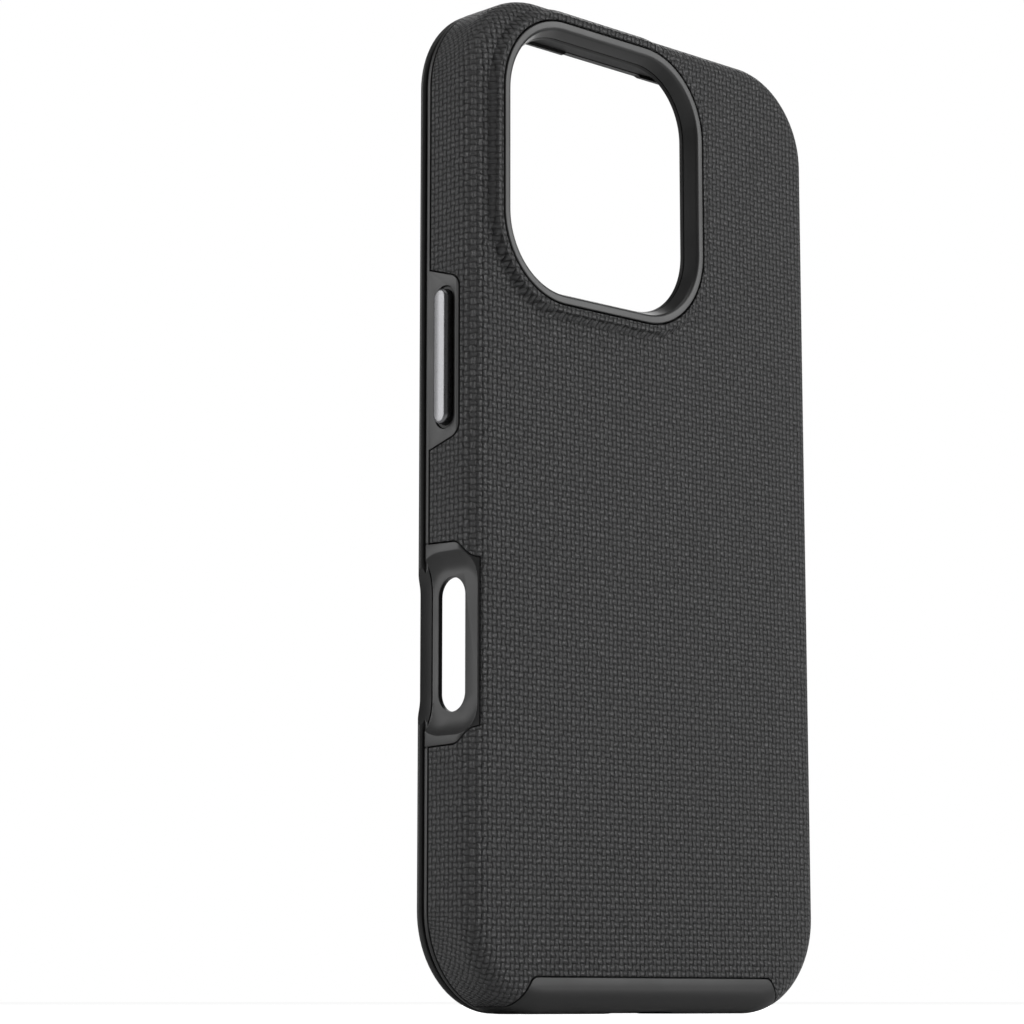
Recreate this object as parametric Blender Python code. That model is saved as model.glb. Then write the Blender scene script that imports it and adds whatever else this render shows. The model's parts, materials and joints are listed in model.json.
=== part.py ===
"""A two-layer phone case: soft frame, hard textured shell, camera ring and four sprung side buttons.

Frame: the case stands on its bottom edge, +Z up, +Y to its back, the open screen side at -Y,
and +X is the phone's right side as seen from the screen. All sizes are in metres.
"""

import math

import bmesh
import bpy
from mathutils import Vector

# The phone that the case holds, and the room left round it.
PHONE_WIDTH = 0.0715
PHONE_HEIGHT = 0.1496
PHONE_DEPTH = 0.00825
PHONE_CORNER = 0.01235
PHONE_ROOM = 0.00015

# Walls, from the phone outwards, and the gap that separate pieces keep.
LINER_WALL = 0.00125
LINER_FLOOR = 0.00095
SHELL_WALL = 0.0012
SHELL_BACK = 0.00105
LAYER_GAP = 0.00015
SEAM = 0.0002
EDGE_ROUND = 0.0037

# The soft front: where the hard shell stops, the groove, and the lip over the screen's edge.
SHELL_EDGE_TO_GLASS = 0.0009
LIP_RISE = 0.0017
LIP_REACH = 0.00035
LIP_CHAMFER = 0.001
GROOVE_DEPTH = 0.00075
GROOVE_WIDTH = 0.0006
EARPIECE_NOTCH_WIDTH = 0.0167
EARPIECE_NOTCH_DEPTH = 0.0004

# The camera opening, placed from the phone's top and right edges.
CAMERA_FROM_SIDE = 0.0247
CAMERA_FROM_TOP = 0.0229
CAMERA_RING_WIDTH = 0.04405
CAMERA_RING_HEIGHT = 0.0448
CAMERA_RING_CORNER = 0.013
CAMERA_RING_FACE = 0.0013
CAMERA_DRAFT = 0.0012
CAMERA_COLLAR_RISE = 0.0012
CAMERA_COLLAR_FACE = 0.0012
CAMERA_COLLAR_SLOPE = 0.0009
GASKET_WIDTH = 0.0016
GASKET_SINK = 0.00035

# Buttons: middle heights and recess lengths, from the phone's bottom edge.
SIDE_BUTTON_Z = 0.0945
SIDE_BUTTON_LENGTH = 0.0219
ACTION_BUTTON_Z = 0.1158
ACTION_BUTTON_LENGTH = 0.0089
VOLUME_UP_Z = 0.1018
VOLUME_DOWN_Z = 0.0874
VOLUME_BUTTON_LENGTH = 0.012
RECESS_WIDTH = 0.0042
SLEEVE_WALL = 0.0004
SLEEVE_GAP = 0.0001
SLEEVE_SINK = 0.0003
CAP_CLEARANCE = 0.00012
CAP_RISE = 0.0012
CAP_BEVEL = 0.0004
BUTTON_TRAVEL = 0.0004
PLUNGER_WIDTH = 0.002
PLUNGER_CLEARANCE = 0.0003
PANEL_END_BACK = 0.0009
PANEL_END_FRONT = 0.0028
PANEL_CORNER = 0.0012
PANEL_FROM_BACK = 0.0032

# The camera-control slot and the scoop that a finger slides into.
CONTROL_Z = 0.0513
SLOT_LENGTH = 0.02
SLOT_WIDTH = 0.0057
SCOOP_DEPTH = 0.00165
SCOOP_FLOOR_LENGTH = 0.0212
SCOOP_LENGTH = 0.0273
SCOOP_LAND = 0.00035
SCOOP_CORNER = 0.003
SCOOP_RAMP = 0.0038
BEZEL_LENGTH = 0.0316
BEZEL_BACK_LENGTH = 0.0246
BEZEL_BLOCK_LENGTH = 0.025
BEZEL_OVER_BACK = 0.0019

# The bottom: band over the back, charging port and speaker slots.
BAND_HEIGHT = 0.00535
BAND_FROM_SIDE = 0.009
BAND_SLANT = 0.0035
PORT_LENGTH = 0.0134
PORT_WIDTH = 0.0066
PORT_SCOOP = 0.0018
PORT_SCOOP_DEPTH = 0.0004
SPEAKER_LENGTH = 0.012
SPEAKER_WIDTH = 0.0026
SPEAKER_WEB = 0.0058

# Cushions set into the liner's four inner corners.
CUSHION_THICKNESS = 0.00055
CUSHION_HEIGHT = 0.0056
CUSHION_HALF_ANGLE = math.radians(31)
CUSHION_RIBS = 3
CUSHION_RIB_RISE = 0.00012
CUSHION_CLEARANCE = 0.0001

CORNER_STEPS = 9
FILLET_STEPS = 5

# What follows from the sizes above.
WALL = PHONE_ROOM + LINER_WALL + LAYER_GAP + SHELL_WALL
HALF_WIDTH = PHONE_WIDTH / 2 + WALL
CASE_HEIGHT = PHONE_HEIGHT + 2 * WALL
CORNER = PHONE_CORNER + WALL
CASE_DEPTH = LIP_RISE + PHONE_ROOM + PHONE_DEPTH + LINER_FLOOR + LAYER_GAP + SHELL_BACK
FRONT = -(CASE_DEPTH + CAMERA_COLLAR_RISE) / 2
BACK = FRONT + CASE_DEPTH
SHELL_INNER_BACK = BACK - SHELL_BACK
LINER_BACK = SHELL_INNER_BACK - LAYER_GAP
FLOOR = LINER_BACK - LINER_FLOOR
GLASS = FLOOR - PHONE_DEPTH
LIP_BACK = GLASS - PHONE_ROOM
MIDDLE = FLOOR - PHONE_DEPTH / 2
SHELL_EDGE = GLASS + SHELL_EDGE_TO_GLASS
BOTTOM_OF_PHONE = WALL
LINER_INSET = SHELL_WALL + LAYER_GAP
CAVITY_INSET = LINER_INSET + LINER_WALL
LIP_INSET = WALL + LIP_REACH
CAMERA_X = PHONE_WIDTH / 2 - CAMERA_FROM_SIDE
CAMERA_Z = BOTTOM_OF_PHONE + PHONE_HEIGHT - CAMERA_FROM_TOP
COLLAR_TOP = BACK + CAMERA_COLLAR_RISE
CONTROL_MIDDLE = BOTTOM_OF_PHONE + CONTROL_Z
RIM_ROUND = 0.0003
FAR = 0.02

# Name, side, middle height and recess length of each button.
BUTTONS = [
    ("action", -1, BOTTOM_OF_PHONE + ACTION_BUTTON_Z, ACTION_BUTTON_LENGTH),
    ("volume_up", -1, BOTTOM_OF_PHONE + VOLUME_UP_Z, VOLUME_BUTTON_LENGTH),
    ("volume_down", -1, BOTTOM_OF_PHONE + VOLUME_DOWN_Z, VOLUME_BUTTON_LENGTH),
    ("side", 1, BOTTOM_OF_PHONE + SIDE_BUTTON_Z, SIDE_BUTTON_LENGTH),
]

# Side, and the lowest and highest recess ends, of each smooth panel round the buttons.
PANELS = [
    (
        -1,
        BOTTOM_OF_PHONE + VOLUME_DOWN_Z - VOLUME_BUTTON_LENGTH / 2,
        BOTTOM_OF_PHONE + ACTION_BUTTON_Z + ACTION_BUTTON_LENGTH / 2,
        "left",
    ),
    (
        1,
        BOTTOM_OF_PHONE + SIDE_BUTTON_Z - SIDE_BUTTON_LENGTH / 2,
        BOTTOM_OF_PHONE + SIDE_BUTTON_Z + SIDE_BUTTON_LENGTH / 2,
        "right",
    ),
]


def clear_scene():
    for thing in list(bpy.data.objects):
        bpy.data.objects.remove(thing, do_unlink=True)


def make_material(name, colour, roughness, metallic=0.0):
    material = bpy.data.materials.new(name)
    material.use_nodes = True
    shader = material.node_tree.nodes["Principled BSDF"]
    shader.inputs["Base Color"].default_value = (*colour, 1.0)
    shader.inputs["Roughness"].default_value = roughness
    shader.inputs["Metallic"].default_value = metallic
    return material


def make_object(name, mesh_data, material=None, smooth_angle=30):
    """Turns a bmesh into an object with all faces pointing out."""
    bmesh.ops.recalc_face_normals(mesh_data, faces=mesh_data.faces)
    mesh = bpy.data.meshes.new(name)
    mesh_data.to_mesh(mesh)
    mesh_data.free()
    thing = bpy.data.objects.new(name, mesh)
    bpy.context.scene.collection.objects.link(thing)
    if material:
        mesh.materials.append(material)
        mesh.shade_smooth()
        mesh.set_sharp_from_angle(angle=math.radians(smooth_angle))
    return thing


def rounded_outline(half_a, half_b, radius, steps=CORNER_STEPS, middle=(0.0, 0.0)):
    """Points of a rounded rectangle, anticlockwise. Insets keep the point count, so rings match."""
    points = []
    for quarter, (side_a, side_b) in enumerate(((1, 1), (-1, 1), (-1, -1), (1, -1))):
        centre_a = middle[0] + side_a * (half_a - radius)
        centre_b = middle[1] + side_b * (half_b - radius)
        for step in range(steps + 1):
            angle = math.pi / 2 * (quarter + step / steps)
            points.append((centre_a + radius * math.cos(angle), centre_b + radius * math.sin(angle)))
    return points


def case_outline(inset):
    """The case's outline seen from the back, moved in by inset."""
    points = rounded_outline(HALF_WIDTH - inset, CASE_HEIGHT / 2 - inset, CORNER - inset)
    return [(x, z + CASE_HEIGHT / 2) for x, z in points]


def loft(rings, place, cap_ends=True):
    """Joins rings of matching points, each ring being (outline, level). Without caps it closes on itself."""
    mesh_data = bmesh.new()
    made = []
    for outline, level in rings:
        made.append([mesh_data.verts.new(place(a, b, level)) for a, b in outline])
    pairs = list(zip(made, made[1:]))
    if not cap_ends:
        pairs.append((made[-1], made[0]))
    for ring, following in pairs:
        count = len(ring)
        for index in range(count):
            after = (index + 1) % count
            mesh_data.faces.new((ring[index], ring[after], following[after], following[index]))
    if cap_ends:
        mesh_data.faces.new(made[0])
        mesh_data.faces.new(list(reversed(made[-1])))
    return mesh_data


def along_y(a, b, level):
    return Vector((a, level, b))


def along_x(a, b, level):
    return Vector((level, a, b))


def along_z(a, b, level):
    return Vector((a, b, level))


def cutter_from(name, mesh_data):
    thing = make_object(name, mesh_data)
    thing.hide_render = True
    thing.display_type = "WIRE"
    return thing


def rectangle(low_a, high_a, low_b, high_b):
    return [(low_a, low_b), (high_a, low_b), (high_a, high_b), (low_a, high_b)]


def prism(name, outline, low, high, place):
    return cutter_from(name, loft([(outline, low), (outline, high)], place))


def combine(target, other, operation):
    modifier = target.modifiers.new(f"{operation} {other.name}"[:60], "BOOLEAN")
    modifier.operation = operation
    modifier.object = other
    modifier.solver = "EXACT"


def round_polygon(corners, radius, steps=4):
    """Rounds every corner of a polygon with one radius."""
    points = []
    for before, middle, after in zip(corners[-1:] + corners[:-1], corners, corners[1:] + corners[:1]):
        corner = Vector(middle)
        to_before = (Vector(before) - corner).normalized()
        to_after = (Vector(after) - corner).normalized()
        half_angle = to_before.angle(to_after) / 2
        centre = corner + (to_before + to_after).normalized() * radius / math.sin(half_angle)
        start = corner + to_before * radius / math.tan(half_angle) - centre
        end = corner + to_after * radius / math.tan(half_angle) - centre
        for step in range(steps + 1):
            spoke = start.lerp(end, step / steps).normalized() * radius
            points.append(tuple(centre + spoke))
    return points


def pill(length, width, grow=0.0, middle=(0.0, 0.0), steps=6):
    """A slot outline with its length along the second axis."""
    half_width = width / 2 + grow
    return rounded_outline(half_width, length / 2 + grow, half_width, steps, middle)


def flat_pill(length, width, grow=0.0, middle=(0.0, 0.0), steps=6):
    """A slot outline with its length along the first axis."""
    half_width = width / 2 + grow
    return rounded_outline(length / 2 + grow, half_width, half_width, steps, middle)


def camera_outline(grow):
    half_width = CAMERA_RING_WIDTH / 2 + grow
    half_height = CAMERA_RING_HEIGHT / 2 + grow
    return rounded_outline(half_width, half_height, CAMERA_RING_CORNER + grow, 10, (CAMERA_X, CAMERA_Z))


def opening_outline(level):
    """The camera opening narrows evenly from the ring's face down to the liner's floor."""
    share = (COLLAR_TOP - level) / (COLLAR_TOP - FLOOR)
    return camera_outline(-CAMERA_RING_FACE - share * CAMERA_DRAFT)


def cup_rings(inset, back, front_edge, skin_inset, skin_back):
    """Rings of a tray from its back face, round its outer edge to the front, and back inside."""
    start = BACK - EDGE_ROUND
    rings = []
    for step in range(FILLET_STEPS + 1):
        angle = math.pi / 2 * (1 - step / FILLET_STEPS)
        reach = (EDGE_ROUND - inset) * (1 - math.cos(angle))
        rings.append((case_outline(inset + reach), start + (back - start) * math.sin(angle)))
    rings.append((case_outline(inset), front_edge + RIM_ROUND))
    rings.append((case_outline(inset + RIM_ROUND * 0.3), front_edge + RIM_ROUND * 0.3))
    rings.append((case_outline(inset + RIM_ROUND), front_edge))
    rings.append((case_outline(skin_inset), front_edge))
    for step in range(FILLET_STEPS + 1):
        angle = math.pi / 2 * step / FILLET_STEPS
        reach = (EDGE_ROUND - skin_inset) * (1 - math.cos(angle))
        rings.append((case_outline(skin_inset + reach), start + (skin_back - start) * math.sin(angle)))
    return rings


def hard_wall(name, material):
    """The outer wall and back, which the shell, the frame and the bezel are all cut from."""
    rings = cup_rings(0.0, BACK, GLASS, SHELL_WALL, SHELL_INNER_BACK)
    return make_object(name, loft(rings, along_y), material)


def panel_zone(name, side, low, high, grow):
    """The smooth panel round a row of buttons: slanted ends, open to the front."""
    back = BACK - PANEL_FROM_BACK + grow
    corners = [
        (FRONT - FAR, low - PANEL_END_FRONT - grow),
        (SHELL_EDGE, low - PANEL_END_FRONT - grow),
        (back, low - PANEL_END_BACK - grow),
        (back, high + PANEL_END_BACK + grow),
        (SHELL_EDGE, high + PANEL_END_FRONT + grow),
        (FRONT - FAR, high + PANEL_END_FRONT + grow),
    ]
    outline = round_polygon(corners, PANEL_CORNER)
    inner = HALF_WIDTH - EDGE_ROUND / 2
    ends = sorted((side * inner, side * (HALF_WIDTH + FAR)))
    return prism(name, outline, ends[0], ends[1], along_x)


def bezel_zone(name, grow):
    """The camera-control bezel's outline: it runs from the front edge over the rounded back edge."""
    half = BEZEL_LENGTH / 2 + grow
    half_back = BEZEL_BACK_LENGTH / 2 + grow
    corners = [
        (FRONT - FAR, CONTROL_MIDDLE - half),
        (MIDDLE + SLOT_WIDTH / 2, CONTROL_MIDDLE - half + PANEL_END_BACK),
        (BACK - SHELL_BACK, CONTROL_MIDDLE - half_back),
        (BACK + FAR, CONTROL_MIDDLE - half_back),
        (BACK + FAR, CONTROL_MIDDLE + half_back),
        (BACK - SHELL_BACK, CONTROL_MIDDLE + half_back),
        (MIDDLE + SLOT_WIDTH / 2, CONTROL_MIDDLE + half - PANEL_END_BACK),
        (FRONT - FAR, CONTROL_MIDDLE + half),
    ]
    outline = round_polygon(corners, PANEL_CORNER)
    return prism(name, outline, HALF_WIDTH - BEZEL_OVER_BACK - grow, HALF_WIDTH + FAR, along_x)


def band_zone(name, grow):
    """The smooth band round the bottom, seen from the back as a low shape with slanted ends."""
    half_low = HALF_WIDTH - BAND_FROM_SIDE + grow
    half_high = half_low - BAND_SLANT
    slope = BAND_SLANT / BAND_HEIGHT
    low = -2 * BAND_HEIGHT
    corners = [
        (-half_low + slope * low, low),
        (half_low - slope * low, low),
        (half_high, BAND_HEIGHT + grow),
        (-half_high, BAND_HEIGHT + grow),
    ]
    return prism(name, round_polygon(corners, PANEL_CORNER), FRONT - FAR, BACK + FAR, along_y)


def front_zone(name, grow):
    """Everything in front of the hard shell's edge."""
    outline = rounded_outline(HALF_WIDTH + FAR, CASE_HEIGHT, CORNER)
    return prism(name, outline, FRONT - FAR, SHELL_EDGE - SEAM + grow, along_y)


def scoop_cutter(name):
    """A dish that grows slowly from its floor and then steeply to the surface."""
    rings = []
    for share in (0.0, 0.35, 0.65, 0.85, 1.0, 1.2):
        half_z = SCOOP_FLOOR_LENGTH / 2 + (SCOOP_LENGTH - SCOOP_FLOOR_LENGTH) / 2 * share
        low = MIDDLE - SLOT_WIDTH / 2 - SCOOP_LAND - SCOOP_RAMP * share
        high = BACK - SCOOP_LAND * 2 + SCOOP_RAMP * share
        centre = ((low + high) / 2, CONTROL_MIDDLE)
        outline = rounded_outline((high - low) / 2, half_z, SCOOP_CORNER * (1 + share), CORNER_STEPS, centre)
        rings.append((outline, HALF_WIDTH - SCOOP_DEPTH * (1 - share**2)))
    return cutter_from(name, loft(rings, along_x))


def port_scoop_cutter(name):
    rings = []
    for share in (0.0, 0.5, 1.0, 1.3):
        outline = flat_pill(PORT_LENGTH, PORT_WIDTH, PORT_SCOOP * (0.2 + 0.8 * share), (0.0, MIDDLE))
        rings.append((outline, PORT_SCOOP_DEPTH * (1 - share**2)))
    return cutter_from(name, loft(rings, along_z))


def bottom_openings():
    """The charging port and a slot on each side of it, as cutters."""
    depth = WALL + SEAM
    offset = (PORT_LENGTH + SPEAKER_LENGTH) / 2 + SPEAKER_WEB
    port = flat_pill(PORT_LENGTH, PORT_WIDTH, 0.0, (0.0, MIDDLE))
    cutters = [prism("charging_port_cut", port, -depth, depth * 2, along_z)]
    for side, word in ((-1, "left"), (1, "right")):
        outline = flat_pill(SPEAKER_LENGTH, SPEAKER_WIDTH, 0.0, (side * offset, MIDDLE))
        cutters.append(prism(f"speaker_slot_cut_{word}", outline, -depth, depth * 2, along_z))
    return cutters


def build_shell(material):
    shell = hard_wall("outer_shell", material)
    rings = [
        (camera_outline(CAMERA_COLLAR_FACE + CAMERA_COLLAR_SLOPE), SHELL_INNER_BACK + RIM_ROUND / 4),
        (camera_outline(CAMERA_COLLAR_FACE + CAMERA_COLLAR_SLOPE), BACK),
        (camera_outline(CAMERA_COLLAR_FACE), COLLAR_TOP),
    ]
    combine(shell, cutter_from("camera_collar", loft(rings, along_y)), "UNION")
    hole = prism("camera_hole_cut", camera_outline(SEAM), FLOOR, COLLAR_TOP + FAR, along_y)
    combine(shell, hole, "DIFFERENCE")
    combine(shell, front_zone("front_cut", SEAM), "DIFFERENCE")
    for side, low, high, word in PANELS:
        combine(shell, panel_zone(f"{word}_panel_cut", side, low, high, SEAM), "DIFFERENCE")
    combine(shell, bezel_zone("bezel_cut", SEAM), "DIFFERENCE")
    combine(shell, band_zone("band_cut", SEAM), "DIFFERENCE")
    return shell


def build_frame(material, buttons, openings):
    """The soft frame is the same wall, kept only where the shell is cut away."""
    frame = hard_wall("bumper_frame", material)
    zone = front_zone("frame_zone", 0.0)
    for side, low, high, word in PANELS:
        combine(zone, panel_zone(f"{word}_panel_zone", side, low, high, 0.0), "UNION")
    combine(zone, band_zone("band_zone", 0.0), "UNION")
    combine(frame, zone, "INTERSECT")
    combine(frame, bezel_zone("bezel_gap", SEAM), "DIFFERENCE")
    combine(frame, port_scoop_cutter("port_scoop_cut"), "DIFFERENCE")
    for cutter in openings:
        combine(frame, cutter, "DIFFERENCE")
    for word, side, height, length in buttons:
        outline = pill(length, RECESS_WIDTH, 0.0, (MIDDLE, height))
        ends = sorted((side * (HALF_WIDTH - SHELL_WALL - RIM_ROUND), side * (HALF_WIDTH + RIM_ROUND)))
        combine(frame, prism(f"{word}_recess_cut", outline, ends[0], ends[1], along_x), "DIFFERENCE")
    return frame


def bezel_block_back():
    """The block stops short of the shell's rounded inner corner."""
    start = BACK - EDGE_ROUND
    cosine = 1 - (BEZEL_OVER_BACK + SEAM - SHELL_WALL) / (EDGE_ROUND - SHELL_WALL)
    return start + (SHELL_INNER_BACK - start) * math.sqrt(1 - cosine**2) - LAYER_GAP


def build_bezel(material):
    """A thick insert: its plate is flush with the shell, and its block fills the liner's window."""
    bezel = hard_wall("camera_control_bezel", material)
    combine(bezel, bezel_zone("bezel_zone", 0.0), "INTERSECT")
    half = BEZEL_BLOCK_LENGTH / 2
    outline = rectangle(GLASS, bezel_block_back(), CONTROL_MIDDLE - half, CONTROL_MIDDLE + half)
    inner = HALF_WIDTH - CAVITY_INSET + LAYER_GAP
    combine(bezel, prism("bezel_block", outline, inner, HALF_WIDTH - SHELL_WALL / 2, along_x), "UNION")
    combine(bezel, scoop_cutter("bezel_scoop_cut"), "DIFFERENCE")
    slot = pill(SLOT_LENGTH, SLOT_WIDTH, 0.0, (MIDDLE, CONTROL_MIDDLE))
    combine(bezel, prism("slot_cut", slot, 0.0, HALF_WIDTH + FAR, along_x), "DIFFERENCE")
    return bezel


def build_lip(material):
    """A ring over the edge of the screen: a neck in the groove, a round bead, and a chamfer inwards."""
    neck = LIP_BACK - GROOVE_WIDTH
    bead = (neck - FRONT) / 2
    section = [(LIP_INSET, LIP_BACK), (GROOVE_DEPTH, LIP_BACK), (GROOVE_DEPTH, neck)]
    for step in range(FILLET_STEPS + 2):
        angle = math.pi * step / (FILLET_STEPS + 1)
        inset = GROOVE_DEPTH - LAYER_GAP - bead * math.sin(angle)
        section.append((inset, neck - bead * (1 - math.cos(angle))))
    section.append((LIP_INSET - LIP_CHAMFER - LAYER_GAP, FRONT))
    section.append((LIP_INSET - LAYER_GAP, FRONT + LIP_CHAMFER))
    section.append((LIP_INSET, FRONT + LIP_CHAMFER + LAYER_GAP))
    rings = [(case_outline(inset), level) for inset, level in section]
    lip = make_object("front_lip", loft(rings, along_y, cap_ends=False), material)
    half = EARPIECE_NOTCH_WIDTH / 2
    low = CASE_HEIGHT - LIP_INSET - EARPIECE_NOTCH_DEPTH
    high = CASE_HEIGHT - LIP_INSET + EARPIECE_NOTCH_DEPTH
    corners = [(-half - LIP_CHAMFER, low), (half + LIP_CHAMFER, low), (half, high), (-half, high)]
    combine(lip, prism("earpiece_notch_cut", corners, FRONT - FAR, LIP_BACK + FAR, along_y), "DIFFERENCE")
    combine(lip, scoop_cutter("lip_scoop_cut"), "DIFFERENCE")
    return lip


def cushion_outline(corner_x, corner_z, turn, low, high, half_angle, ribs):
    """An arc band about the case's corner centre. Its inner side carries ribs."""
    steps = CUSHION_RIBS * 6
    centre = math.pi / 4 + turn
    points = []
    for step in range(steps + 1):
        angle = centre + half_angle * (1 - 2 * step / steps)
        on_rib = ribs and step % 6 in (2, 3, 4)
        radius = low - (CUSHION_RIB_RISE if on_rib else 0.0)
        points.append((corner_x + radius * math.cos(angle), corner_z + radius * math.sin(angle)))
    for step in range(steps + 1):
        angle = centre - half_angle * (1 - 2 * step / steps)
        points.append((corner_x + high * math.cos(angle), corner_z + high * math.sin(angle)))
    return points


def cushion_places():
    """Name, corner centre and turn of each inner corner."""
    across = HALF_WIDTH - CORNER
    return [
        ("top_right", across, CASE_HEIGHT - CORNER, 0.0),
        ("top_left", -across, CASE_HEIGHT - CORNER, math.pi / 2),
        ("bottom_left", -across, CORNER, math.pi),
        ("bottom_right", across, CORNER, math.pi * 3 / 2),
    ]


def build_cushions(material):
    inner = CORNER - CAVITY_INSET
    for word, corner_x, corner_z, turn in cushion_places():
        outline = cushion_outline(
            corner_x, corner_z, turn, inner, inner + CUSHION_THICKNESS, CUSHION_HALF_ANGLE, ribs=True
        )
        rings = [(outline, MIDDLE - CUSHION_HEIGHT / 2), (outline, MIDDLE + CUSHION_HEIGHT / 2)]
        make_object(f"corner_cushion_{word}", loft(rings, along_y), material)


def build_liner(material, buttons, openings):
    """The soft tray that the phone lies in."""
    rings = cup_rings(LINER_INSET, LINER_BACK, GLASS, CAVITY_INSET, FLOOR)
    liner = make_object("inner_liner", loft(rings, along_y), material)
    hole = camera_outline(GASKET_WIDTH + LAYER_GAP - CAMERA_RING_FACE - CAMERA_DRAFT)
    combine(liner, prism("gasket_hole_cut", hole, FLOOR - FAR / 4, BACK, along_y), "DIFFERENCE")
    half = BEZEL_BLOCK_LENGTH / 2 + LAYER_GAP
    outline = rectangle(FRONT, BACK, CONTROL_MIDDLE - half, CONTROL_MIDDLE + half)
    inner = HALF_WIDTH - CAVITY_INSET
    window = prism("bezel_window_cut", outline, inner - RIM_ROUND / 8, HALF_WIDTH, along_x)
    combine(liner, window, "DIFFERENCE")
    for cutter in openings:
        combine(liner, cutter, "DIFFERENCE")
    for word, side, height, length in buttons:
        outline = pill(plunger_length(length), PLUNGER_WIDTH, PLUNGER_CLEARANCE, (MIDDLE, height))
        ends = sorted((side * (inner - PLUNGER_WIDTH), side * HALF_WIDTH))
        combine(liner, prism(f"{word}_plunger_cut", outline, ends[0], ends[1], along_x), "DIFFERENCE")
    radius = CORNER - CAVITY_INSET
    for word, corner_x, corner_z, turn in cushion_places():
        deep = radius + CUSHION_THICKNESS + CUSHION_CLEARANCE
        half_angle = CUSHION_HALF_ANGLE + CUSHION_CLEARANCE / radius
        shallow = radius - CUSHION_THICKNESS
        outline = cushion_outline(corner_x, corner_z, turn, shallow, deep, half_angle, ribs=False)
        reach = CUSHION_HEIGHT / 2 + CUSHION_CLEARANCE
        pocket = prism(f"cushion_{word}_cut", outline, MIDDLE - reach, MIDDLE + reach, along_y)
        combine(liner, pocket, "DIFFERENCE")
    return liner


def build_camera_parts(ring_material, gasket_material):
    """The ring in the shell's collar, and the soft gasket that carries it on in the liner."""
    lower = SHELL_INNER_BACK
    rings = [
        (camera_outline(0.0), lower),
        (camera_outline(0.0), COLLAR_TOP - RIM_ROUND / 2),
        (camera_outline(-RIM_ROUND / 2), COLLAR_TOP),
        (camera_outline(-CAMERA_RING_FACE + RIM_ROUND / 2), COLLAR_TOP),
        (opening_outline(COLLAR_TOP - RIM_ROUND / 2), COLLAR_TOP - RIM_ROUND / 2),
        (opening_outline(lower), lower),
    ]
    make_object("camera_ring", loft(rings, along_y, cap_ends=False), ring_material)
    inner_edge = FLOOR + GASKET_SINK
    outer = camera_outline(GASKET_WIDTH - CAMERA_RING_FACE - CAMERA_DRAFT)
    rings = [
        (outer, inner_edge),
        (outer, LINER_BACK),
        (opening_outline(LINER_BACK), LINER_BACK),
        (opening_outline(inner_edge), inner_edge),
    ]
    make_object("camera_gasket", loft(rings, along_y, cap_ends=False), gasket_material)


def cap_length(recess_length):
    return recess_length - 2 * (SLEEVE_GAP + SLEEVE_WALL + CAP_CLEARANCE)


def plunger_length(recess_length):
    return cap_length(recess_length) - PLUNGER_WIDTH


def build_button(word, side, height, recess_length, cap_material, soft_material):
    """A metal cap over a soft plunger, both carried by an empty on the slide's axis, in a fixed sleeve."""
    holder = bpy.data.objects.new(f"{word}_axis", None)
    holder.location = (side * HALF_WIDTH, MIDDLE, height)
    bpy.context.scene.collection.objects.link(holder)

    def outwards(a, b, level):
        return Vector((side * level, side * a, b))

    length = cap_length(recess_length)
    width = RECESS_WIDTH - 2 * (SLEEVE_GAP + SLEEVE_WALL + CAP_CLEARANCE)
    foot = BUTTON_TRAVEL + LAYER_GAP - LINER_INSET
    rings = [(pill(length, width), foot), (pill(length, width), CAP_RISE - CAP_BEVEL)]
    for step in range(1, 4):
        angle = math.pi / 2 * step / 3
        grow = -CAP_BEVEL * (1 - math.cos(angle))
        rings.append((pill(length, width, grow), CAP_RISE - CAP_BEVEL * (1 - math.sin(angle))))
    cap = make_object(f"{word}_button", loft(rings, outwards), cap_material)
    cap.parent = holder

    outline = pill(plunger_length(recess_length), PLUNGER_WIDTH)
    rings = [(outline, LAYER_GAP - CAVITY_INSET), (outline, foot - SLEEVE_GAP)]
    plunger = make_object(f"{word}_plunger", loft(rings, outwards), soft_material)
    plunger.parent = holder

    outer = pill(recess_length, RECESS_WIDTH, -SLEEVE_GAP)
    hole = pill(recess_length, RECESS_WIDTH, -SLEEVE_GAP - SLEEVE_WALL)
    rings = [(outer, -SHELL_WALL), (outer, -SLEEVE_SINK), (hole, -SLEEVE_SINK), (hole, -SHELL_WALL)]
    sleeve = make_object(f"{word}_sleeve", loft(rings, outwards, cap_ends=False), soft_material)
    sleeve.location = holder.location


def main():
    clear_scene()
    textured = make_material("textured hard shell", (0.028, 0.028, 0.029), 0.55)
    soft = make_material("smooth soft frame", (0.022, 0.022, 0.022), 0.5)
    tray = make_material("matt soft liner", (0.018, 0.018, 0.018), 0.65)
    ring = make_material("satin ring", (0.03, 0.03, 0.031), 0.4)
    metal = make_material("dark anodised cap", (0.16, 0.16, 0.165), 0.28, 1.0)
    black = make_material("black soft insert", (0.008, 0.008, 0.008), 0.45)
    openings = bottom_openings()
    build_shell(textured)
    build_frame(soft, BUTTONS, openings)
    build_bezel(soft)
    build_lip(soft)
    build_liner(tray, BUTTONS, openings)
    build_camera_parts(ring, black)
    build_cushions(tray)
    for word, side, height, length in BUTTONS:
        build_button(word, side, height, length, metal, black)


main()
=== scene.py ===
import json
import math

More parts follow.
